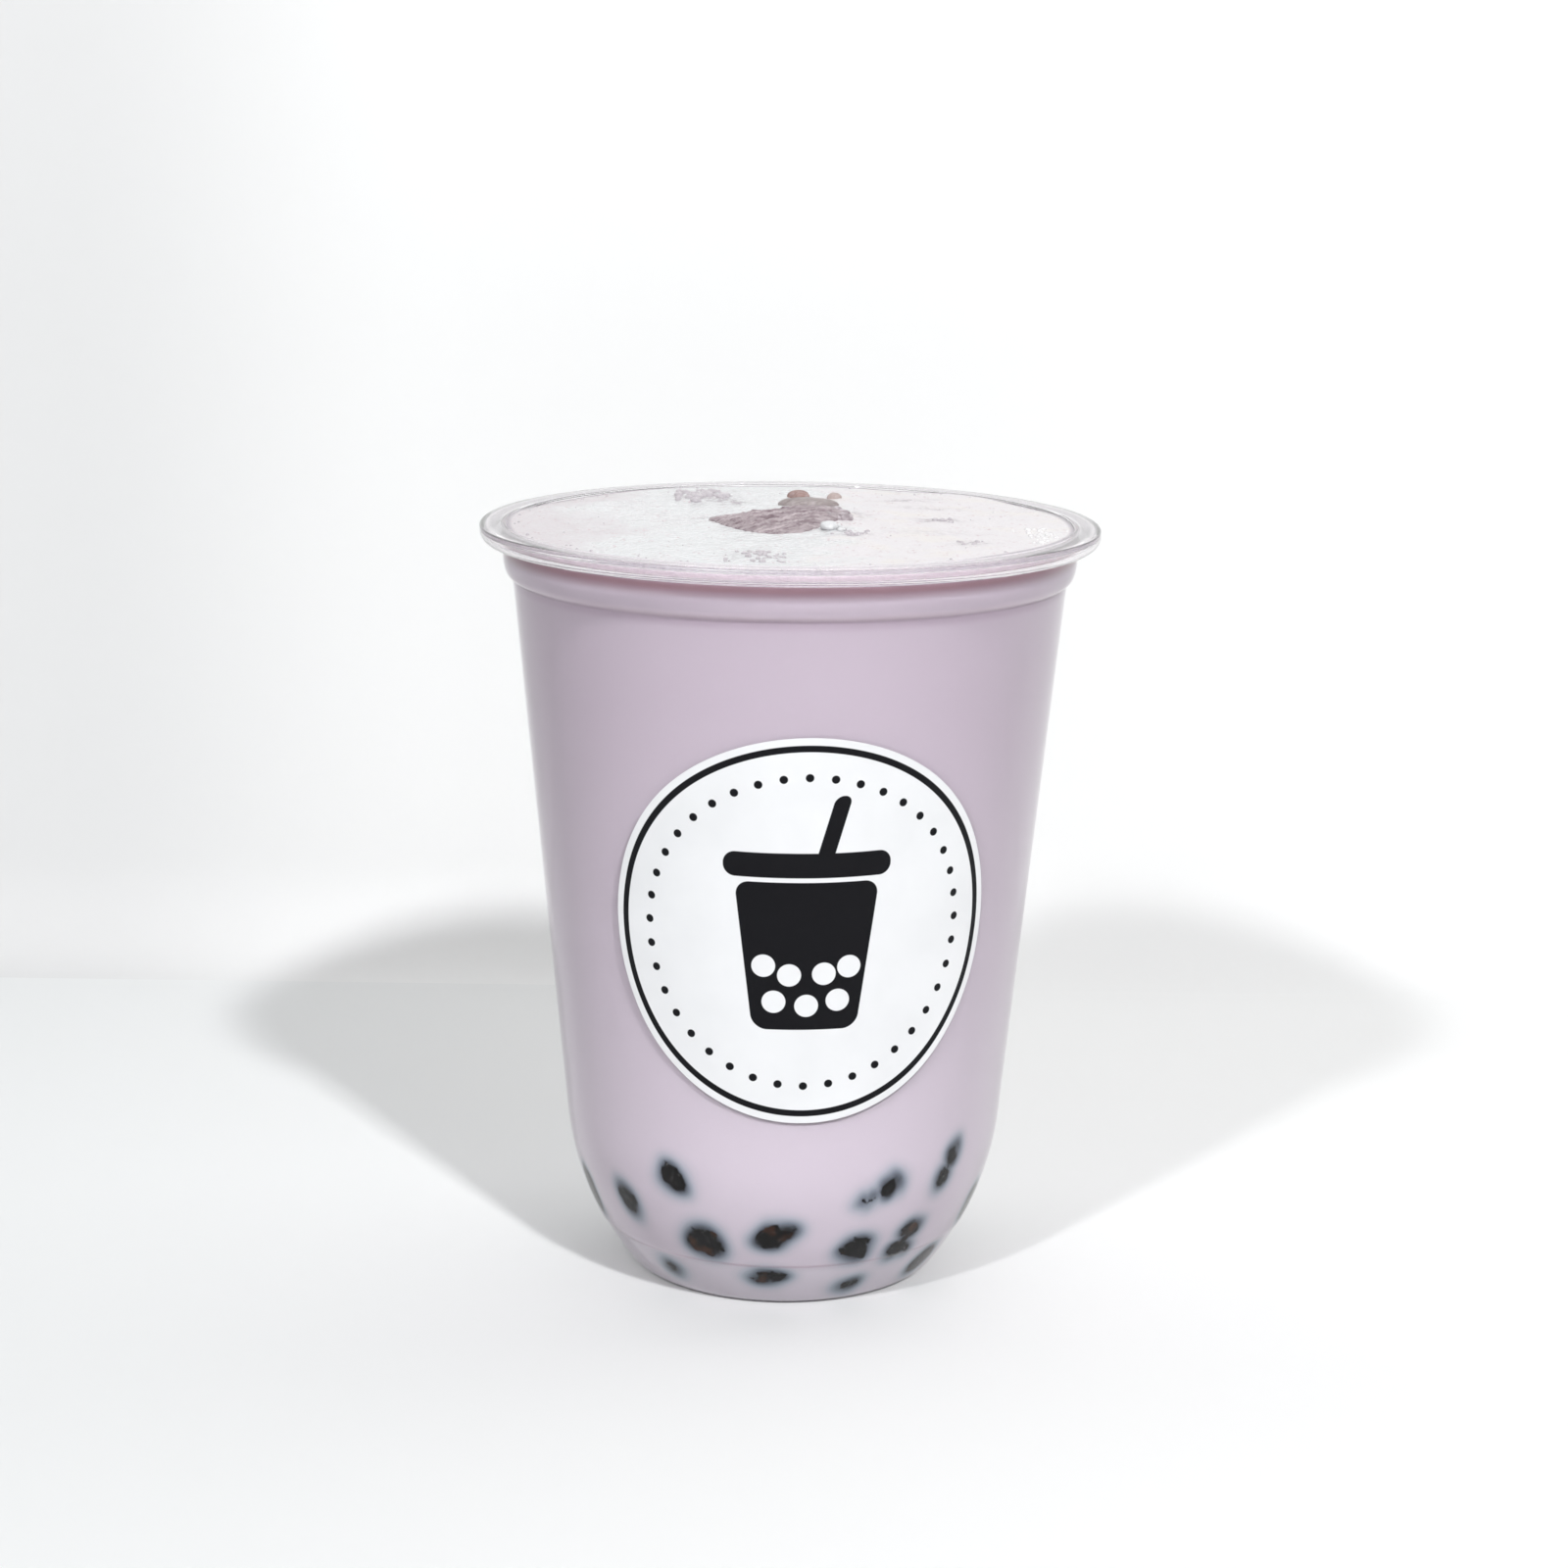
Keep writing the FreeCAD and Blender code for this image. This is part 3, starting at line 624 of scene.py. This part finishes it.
def taro_dome(name, lean, phase, ridge, rows, columns):
    """A lump as a grid over its outline, from the crest down to its underside. The outline's radius is an
    ellipse's times slow waves, and the height falls as a flattened dome. The large lump narrows to the left
    and its face climbs to the back right. Striations run along the direction lean, bent by slow ripples."""
    low, high = lump_boxes[name]
    middle, half = (low + high)[:2] / 2, (high - low)[:2] / 2
    share = np.concatenate([np.linspace(0, 1, rows)[1:] ** 0.9, [1.0, 0.8, 0.4]])
    depth = np.concatenate([np.zeros(rows - 1), [0.35, 0.75, 1.0]])
    angle = np.linspace(0, 2 * np.pi, columns, endpoint=False)
    rough = 1 + 0.08 * np.sin(2 * angle + phase) + 0.06 * np.sin(3 * angle - 2 * phase)
    rough += 0.03 * np.sin(5 * angle + 3 * phase) + 0.02 * np.sin(9 * angle + phase)
    rough /= rough.max()
    across, ahead = np.outer(share, rough * np.cos(angle)), np.outer(share, rough * np.sin(angle))
    x, y = middle[0] + half[0] * across, middle[1] + half[1] * ahead
    roundness = 2.2
    swell = np.ones_like(x)
    if name == "taro_chunk":
        roundness = 5
        spine = -0.06 + 0.95 * np.maximum(across, 0) ** 1.7 + 0.5 * np.maximum(-across, 0) ** 3
        width = 0.94 * (1 - 0.75 * np.abs(across) ** 3)
        y = middle[1] + half[1] * (spine + width * ahead)
        slope = np.clip((ahead + 0.95 + 0.1 * ripples(across, ahead, 0.5, 1.1, 6, 5)) / 1.3, 0, 1) ** 0.8
        swell = slope * np.clip((across + 1.0) / 1.25, 0, 1) ** 0.9
        swell *= 1 - 0.7 * np.clip((across - 0.6) / 0.35, 0, 1)
    fall = np.sqrt(np.maximum(1 - np.minimum(share, 1) ** roundness, 0))[:, None]
    stripe = y * np.cos(lean) - x * np.sin(lean) + 0.35 * ripples(x, y, 4, 9, 6, 7)
    bands = np.sin(2 * np.pi * stripe / 2.3) + 0.6 * np.sin(2 * np.pi * stripe / 0.97 + 1.3)
    fine = 0.5 * ripples(x, y, 0.6, 1.6, 12, 9)
    froth_level = foam_top(x, y) / MM
    top = froth_level + (0.3 + (high[2] - 0.3 - froth_level) * swell) * fall
    top += ridge * (0.5 * bands + fine) * fall
    z = np.minimum(np.where(fall > 0, top, froth_level - 0.3), high[2])
    z = z * (1 - depth[:, None]) + low[2] * depth[:, None]
    points = np.stack([x, y, z], -1).reshape(-1, 3)
    crest = points[:columns].mean(0)
    points = np.vstack([crest, points, [middle[0], middle[1], low[2]]]) * MM
    return points, closed(len(share), columns, from_top=True)


for name, (lean, phase, ridge, dark, pale) in TARO_LOOK.items():
    small = "bit" in name
    rows, columns = (24, 60) if small else (70, 150)
    lump = new_piece(name + "_flesh", *taro_dome(name, lean, phase, ridge, rows, columns))
    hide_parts(name)
    flesh, tree, shader = new_material(name + "_flesh", {"IOR": 1.38, "Roughness": 0.5})
    drawn_out = node(tree, "Mapping", {"Vector": place(tree, 1 / MM), "Rotation": (0, 0, lean),
                                       "Scale": (6.0, 0.8, 1.2)}, vector_type="TEXTURE").outputs[0]
    streaks = node(tree, "TexNoise", {"Vector": drawn_out, "Scale": 1.0, "Detail": 4.0,
                                      "Roughness": 0.65}).outputs["Fac"]
    tone = blended(tree, span(tree, streaks, 0.36, 0.66), dark, pale)
    # Paler mauve spots about a millimetre across lie over the striations.
    pale_spots = span(tree, noise(tree, 1.1 * MM, 3), 0.55, 0.8, 0.0, 0.5)
    tree.links.new(blended(tree, pale_spots, tone, (0.62, 0.55, 0.58, 1)), shader.inputs["Base Color"])
    bumped(tree, shader, streaks, 0.35 * MM)
    lump.data.materials.append(flesh)

# --- Crumbs ----------------------------------------------------------------------------------
# Small torn lumps of the same mash at the right end of the large one, half sunk in the froth. They are
# lumpy balls like the pearls, joined in one mesh, with their size and place drawn at random.
draw = np.random.default_rng(5)
chunk_high = lump_boxes["taro_chunk"][1]


def lumpy_balls(spots):
    """Points and faces of lumpy balls. Each spot is a centre in metres and three half sizes in metres."""
    all_points, all_faces = [], []
    for index, (centre, halves) in enumerate(spots):
        lumps = draw_lumps(3.4)
        all_points.append(centre + sphere * pearl_reach(sphere, halves, lumps)[:, None])
        all_faces += [tuple(index * len(sphere) + corner for corner in face) for face in ball_faces]
    return np.vstack(all_points), all_faces


def afloat(x, y, size, flat, sunk):
    """A ball's centre and half sizes from its place and half width in millimetres. Its height is flat times
    its width, and it is sunk by a share of that."""
    level = foam_top(np.array([x]), np.array([y]))[0]
    centre = np.array([x * MM, y * MM, level + size * flat * (1 - sunk) * MM])
    return centre, np.array([1, 1, flat]) * size * MM


CRUMB_COUNT = 36
spots = []
for _ in range(CRUMB_COUNT):
    x, y = chunk_high[0] - 4.0 + 1.3 * draw.normal(), 4.0 + 2.8 * draw.normal()
    spots.append(afloat(x, y, draw.uniform(0.4, 1.15), 0.62, draw.uniform(0.45, 0.8)))
crumbs = new_piece("taro_crumbs", *lumpy_balls(spots), 180)
mash, tree, shader = new_material("taro_mash", {"Roughness": 0.5, "IOR": 1.36})
patchy = span(tree, noise(tree, 1.2 * MM, 3), 0.38, 0.62)
mash_tone = blended(tree, patchy, (0.33, 0.28, 0.30, 1), (0.60, 0.54, 0.57, 1))
tree.links.new(mash_tone, shader.inputs["Base Color"])
crumbs.data.materials.append(mash)
spots = [afloat(5.8, -9.6, 1.35, 0.6, 0.35), afloat(7.0, -8.2, 0.9, 0.6, 0.4),
         afloat(7.6, -10.8, 0.7, 0.5, 0.5)]
froth_crumbs = new_piece("froth_crumbs", *lumpy_balls(spots), 180)
froth_crumbs.data.materials.append(froth)

# --- Bubbles ---------------------------------------------------------------------------------
# Single bubbles standing on the froth: a greyish cluster at the back left, some on the front mound, a
# bright group at the far right, a row along the wall, and strays. Each is a low, smooth, pale dome.
GROUPS = [
    # place across and ahead, half sizes of the group, how many, smallest and largest radius, mm
    (-14.2, 26.0, 3.0, 4.4, 60, 0.25, 0.85), (-5.0, -35.2, 3.2, 2.8, 60, 0.15, 0.4),
    (38.0, -11.0, 1.5, 5.5, 60, 0.2, 0.5), (22.6, 4.0, 1.6, 1.4, 9, 0.2, 0.5),
    (26.6, -20.0, 1.4, 1.4, 8, 0.2, 0.4), (8.5, -12.0, 2.4, 1.4, 14, 0.2, 0.5),
    (0, 0, 26, 26, 40, 0.1, 0.22),
]
WALL_BUBBLES, GROUP_EDGE = 40, 1.3
reach_limit = (neck_radius - wall) / MM - 0.7
bubbles = []
for across, ahead, half_x, half_y, count, small, large in GROUPS:
    for _ in range(count):
        off_x, off_y = np.clip(draw.normal(size=2), -GROUP_EDGE, GROUP_EDGE)
        x, y = across + half_x * off_x, ahead + half_y * off_y
        size = draw.uniform(small, large)
        if np.hypot(x, y) < reach_limit - size:
            bubbles.append((x, y, size))
for _ in range(WALL_BUBBLES):
    turn, size = draw.uniform(0, 2 * np.pi), draw.uniform(0.12, 0.3)
    out = reach_limit - size - draw.exponential(0.5)
    bubbles.append((out * np.cos(turn), out * np.sin(turn), size))
DOME_FOOT = 1.9
dome, dome_faces = ball(14, np.linspace(0.3, DOME_FOOT, 6), np.cos(DOME_FOOT))
dome *= (1, 1, 0.75)
bubble_points, bubble_faces = [], []
for index, (x, y, size) in enumerate(bubbles):
    level = foam_top(np.array([x]), np.array([y]))[0]
    bubble_points.append(np.array([x * MM, y * MM, level + 0.02 * size * MM]) + dome * size * MM)
    bubble_faces += [tuple(index * len(dome) + corner for corner in face) for face in dome_faces]
froth_bubbles = new_piece("froth_bubbles", np.vstack(bubble_points), bubble_faces, 180)
skin, tree, shader = new_material("bubble_skin", {"Roughness": 0.12, "IOR": 1.33})
at_right = span(tree, millimetres(tree, 0), 30, 34)
middle_tone = blended(tree, at_right, (0.56, 0.52, 0.55, 1), (0.85, 0.84, 0.84, 1))
# Painted shade: each bubble is painted darker towards its rim, where it faces sideways.
bubble_rim_shade = span(tree, node(tree, "LayerWeight", {"Blend": 0.45}).outputs["Facing"], 0.3, 0.9)
tree.links.new(blended(tree, bubble_rim_shade, middle_tone, (0.66, 0.61, 0.64, 1)), shader.inputs["Base Color"])
froth_bubbles.data.materials.append(skin)

# --- Label -----------------------------------------------------------------------------------
# A round sticker of coated white paper, 60 millimetres across, laid on the tapered body. Its flat
# coordinates in millimetres go into its UV map, and the print is drawn on those: a black ring near the
# edge, a ring of small dots, and a plain picture of a tumbler with a straw and pearls.
LABEL_RADIUS, LABEL_COLUMNS = 30.0, 240
LABEL_THICKNESS = 0.12
label_turn = np.radians(4.66)
label_height = 63 * MM
cone_tip = shoulder_height - shoulder_radius / np.tan(draft)
label_reach = (label_height - cone_tip) / np.cos(draft)


def on_cone(side, ahead, lift):
    """Rolls flat points, in metres from the label's middle, round the cone: a point's distance from the tip
    stays, and its angle about the tip is divided by the sine of the draft. lift is along the normal."""
    out = label_reach + ahead
    from_tip = np.hypot(side, out)
    turn = np.arctan2(side, out) / np.sin(draft) + label_turn
    radius = from_tip * np.sin(draft) + lift * np.cos(draft)
    height = cone_tip + from_tip * np.cos(draft) - lift * np.sin(draft)
    return np.stack([radius * np.sin(turn), -radius * np.cos(turn), height], -1)


rings = np.concatenate([np.linspace(0, 1, 48)[1:], [0.9985, 1.0, 1.0, 0.9985]])
lifts = np.concatenate([np.full(46, LABEL_THICKNESS), [0.115, LABEL_THICKNESS, 0.09, 0.01, -0.01]]) * MM
angle = np.linspace(0, 2 * np.pi, LABEL_COLUMNS, endpoint=False)
side = np.outer(rings, np.cos(angle)) * LABEL_RADIUS * MM
ahead = np.outer(rings, np.sin(angle)) * LABEL_RADIUS * MM
relief = 0.035 * ripples(side / MM, ahead / MM, 9, 30, 7, 21) * MM * (lifts[:, None] > 0.1 * MM)
label_points = on_cone(side, ahead, lifts[:, None] + np.abs(relief)).reshape(-1, 3)
label_points = np.vstack([on_cone(0.0, 0.0, LABEL_THICKNESS * MM), label_points])
label_faces = [face[::-1] for face in net(len(rings), LABEL_COLUMNS, first=1)]
label_faces += [(0, 1 + i, 1 + (i + 1) % LABEL_COLUMNS) for i in range(LABEL_COLUMNS)]
label = new_piece("label_sticker", label_points, label_faces, 70)
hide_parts("label")
flat = np.vstack([[0, 0], np.stack([side, ahead], -1).reshape(-1, 2) / MM])
corners = np.zeros(len(label.data.loops), int)
label.data.loops.foreach_get("vertex_index", corners)
label.data.uv_layers.new(name="flat").data.foreach_set("uv", flat[corners].ravel())


def inside(tree, distance):
    """1 where the distance to a shape's edge is negative, 0 where positive, with a soft step of 0.1 mm."""
    return span(tree, distance, -0.05, 0.05, 1.0, 0.0)


def length(tree, vector):
    """The length of a vector."""
    return node(tree, "VectorMath", {0: vector}, operation="LENGTH").outputs[1]


def from_point(tree, sheet, u, v):
    """The sheet's flat coordinates, measured from (u, v)."""
    return node(tree, "VectorMath", {0: sheet, 1: (u, v, 0)}, operation="SUBTRACT").outputs[0]


def bar(tree, sheet, u, v, half_u, half_v, corner, taper=0.0, lean=0.0):
    """Distance to the edge of an upright bar with round corners. Its half width grows by taper for each
    millimetre up, and its middle line leans by lean."""
    split = node(tree, "SeparateXYZ", {0: from_point(tree, sheet, u, v)})
    up = split.outputs[1]
    off_line = math(tree, "SUBTRACT", split.outputs[0], math(tree, "MULTIPLY", up, lean))
    half = math(tree, "ADD", math(tree, "MULTIPLY", up, taper), half_u - corner)
    over_u = math(tree, "MAXIMUM", math(tree, "SUBTRACT", math(tree, "ABSOLUTE", off_line), half), 0.0)
    past_end = math(tree, "SUBTRACT", math(tree, "ABSOLUTE", up), half_v - corner)
    over_v = math(tree, "MAXIMUM", past_end, 0.0)
    squares = [math(tree, "MULTIPLY", over, over) for over in (over_u, over_v)]
    return math(tree, "SUBTRACT", math(tree, "SQRT", math(tree, "ADD", *squares)), corner)


paper, tree, shader = new_material("sticker_paper", {"Specular IOR Level": 0.12})
sheet = node(tree, "UVMap", uv_map="flat").outputs["UV"]
from_middle = length(tree, sheet)
RING_RADIUS, RING_HALF_WIDTH = 28.4, 0.5
off_ring = math(tree, "ABSOLUTE", math(tree, "SUBTRACT", from_middle, RING_RADIUS))
edge_ring = math(tree, "SUBTRACT", off_ring, RING_HALF_WIDTH)
DOTS, DOT_RING, DOT_RADIUS = 40, 24.0, 0.62
split = node(tree, "SeparateXYZ", {0: sheet})
bearing = math(tree, "ARCTAN2", split.outputs[0], split.outputs[1])
in_dots = math(tree, "ADD", math(tree, "MULTIPLY", bearing, DOTS / (2 * np.pi)), DOTS * 2.5 + 0.5)
off_dot = math(tree, "SUBTRACT", math(tree, "FRACT", in_dots), 0.5)
dot_place = node(tree, "CombineXYZ", {0: math(tree, "MULTIPLY", off_dot, 2 * np.pi / DOTS * DOT_RING),
                                      1: math(tree, "SUBTRACT", from_middle, DOT_RING)}).outputs[0]
dot = math(tree, "SUBTRACT", length(tree, dot_place), DOT_RADIUS)
tumbler = bar(tree, sheet, 0, -3.5, 9.2, 11.5, 2.2, taper=0.13)
lid = bar(tree, sheet, 0, 10.6, 12.4, 1.9, 1.8)
straw = bar(tree, sheet, 3.6, 15.6, 1.25, 5.6, 1.2, lean=0.28)
ink = inside(tree, edge_ring)
for shape in (dot, tumbler, lid, straw):
    ink = math(tree, "MAXIMUM", ink, inside(tree, shape))
PRINTED_PEARLS = [(-4.6, -10.6), (0.2, -11.2), (4.8, -10.4), (-2.4, -6.4), (2.7, -6.2), (-6.2, -5.0),
                  (6.4, -5.2)]
for u, v in PRINTED_PEARLS:
    pearl = math(tree, "SUBTRACT", length(tree, from_point(tree, sheet, u, v)), 1.75)
    ink = math(tree, "SUBTRACT", ink, inside(tree, pearl), clamp=True)
cloudy = span(tree, noise(tree, 11 * MM, 3), 0.35, 0.7)
white = blended(tree, cloudy, (0.81, 0.815, 0.83, 1), (0.85, 0.855, 0.87, 1))
tree.links.new(blended(tree, ink, white, (0.006, 0.006, 0.008, 1)), shader.inputs["Base Color"])
tree.links.new(span(tree, noise(tree, 0.4 * MM, 2), 0.3, 0.7, 0.4, 0.52), shader.inputs["Roughness"])
bumped(tree, shader, noise(tree, 16 * MM, 3, 0.6), 0.35 * MM)
label.data.materials.append(paper)

# --- Studio ----------------------------------------------------------------------------------
# A white sheet sweeps up behind the cup. Two small lamps stand in front, to the right and the left,
# and a pale world fills the shadows. The sheet is clear from behind, so that other views see the cup.
SWEEP_START, SWEEP_ROUND, SHEET_REACH = 148 * MM, 20 * MM, 2.0


def stage_material(name, left, right, low, high):
    """White paper that goes from its left colour to its right colour between two places along X, and which
    is clear from behind."""
    sheet_material, tree, shader = new_material(name, {"Roughness": 0.9, "Specular IOR Level": 0.1})
    share = span(tree, node(tree, "SeparateXYZ", {0: place(tree, 1.0)}).outputs[0], low, high, smooth=True)
    tree.links.new(blended(tree, share, left, right), shader.inputs["Base Color"])
    clear = node(tree, "BsdfTransparent")
    behind = node(tree, "NewGeometry").outputs["Backfacing"]
    mixed = node(tree, "MixShader", {0: behind, 1: shader.outputs[0], 2: clear.outputs[0]})
    tree.links.new(mixed.outputs[0], tree.nodes["Material Output"].inputs["Surface"])
    return sheet_material


def stage_sheet(name, profile, material):
    """A sheet that runs along a profile of (y, z) and reaches SHEET_REACH metres to both sides."""
    left = np.stack([np.full(len(profile), -SHEET_REACH), profile[:, 0], profile[:, 1]], 1)
    right = left * (-1, 1, 1)
    mesh = bpy.data.meshes.new(name)
    mesh.from_pydata(np.stack([left, right], 1).reshape(-1, 3), [], net(len(profile), 2, around=False))
    mesh.shade_smooth()
    mesh.materials.append(material)
    made = bpy.data.objects.new(name, mesh)
    bpy.context.scene.collection.objects.link(made)


rise = np.linspace(0, np.pi / 2, 13)
cove = np.stack([SWEEP_START + SWEEP_ROUND * np.sin(rise), SWEEP_ROUND * (1 - np.cos(rise))], 1)
backdrop = np.vstack([cove, (SWEEP_START + SWEEP_ROUND, SHEET_REACH)])
# Painted shade: the floor and the backdrop are painted darker to the left than to the right.
floor_paper = stage_material("floor", (0.83, 0.84, 0.84, 1), (0.93, 0.93, 0.925, 1), -0.16, 0.06)
wall_paper = stage_material("backdrop", (0.78, 0.78, 0.78, 1), (0.925, 0.925, 0.92, 1), -0.15, -0.07)
stage_sheet("floor", np.array([(-SHEET_REACH, 0.0), (SHEET_REACH, 0.0)]), floor_paper)
stage_sheet("backdrop", backdrop, wall_paper)


LAMP_DISTANCE, LAMP_SIZE, AIM_HEIGHT = 2.5, 0.14, 0.06


def lamp(name, azimuth, elevation, watts):
    """A small square lamp that faces the cup from LAMP_DISTANCE, in metres. Azimuth is from the front
    towards the right."""
    turn, lift = np.radians((azimuth, elevation))
    toward = np.array([np.cos(lift) * np.sin(turn), -np.cos(lift) * np.cos(turn), np.sin(lift)])
    data = bpy.data.lights.new(name, "AREA")
    data.energy, data.size, data.color = watts, LAMP_SIZE, (0.98, 0.99, 1.0)
    made = bpy.data.objects.new(name, data)
    bpy.context.scene.collection.objects.link(made)
    made.location = (0, 0, AIM_HEIGHT) + LAMP_DISTANCE * toward
    made.rotation_euler = (np.pi / 2 - lift, 0, turn)
    made.visible_transmission = False


lamp("lamp_right", 25, 40.4, 35.0)
lamp("lamp_left", -31, 37.7, 20.2)

world = bpy.data.worlds.new("room")
bpy.context.scene.world = world
world.use_nodes = True
tree = world.node_tree
room = tree.nodes["Background"]
room.inputs["Color"].default_value = (1.0, 0.995, 0.98, 1)
room.inputs["Strength"].default_value = 0.165
paths = node(tree, "LightPath")
white_room = node(tree, "Background", {"Color": (1, 1, 1, 1), "Strength": 0.93})
first_hit = math(tree, "SUBTRACT", 1.0, paths.outputs["Diffuse Depth"], clamp=True)
clear_view = math(tree, "MULTIPLY", paths.outputs["Is Transmission Ray"], first_hit)
direct = math(tree, "MAXIMUM", paths.outputs["Is Camera Ray"], clear_view)
seen = node(tree, "MixShader", {0: direct, 1: room.outputs[0], 2: white_room.outputs[0]})
tree.links.new(seen.outputs[0], tree.nodes["World Output"].inputs["Surface"])
bpy.context.scene.view_settings.view_transform = "Standard"

camera_data = bpy.data.cameras.new("camera")
camera_data.sensor_width = 36
camera_data.lens = 74.25
camera = bpy.data.objects.new("camera", camera_data)
bpy.context.scene.collection.objects.link(camera)
camera.location = (0, -0.4924, 0.1891)
pan, pitch, roll = np.radians((0.056, 90 - 12.85, 0.72))
camera.rotation_euler = (Matrix.Rotation(pan, 3, "Z") @ Matrix.Rotation(pitch, 3, "X")
                         @ Matrix.Rotation(roll, 3, "Z")).to_euler()
bpy.context.scene.camera = camera
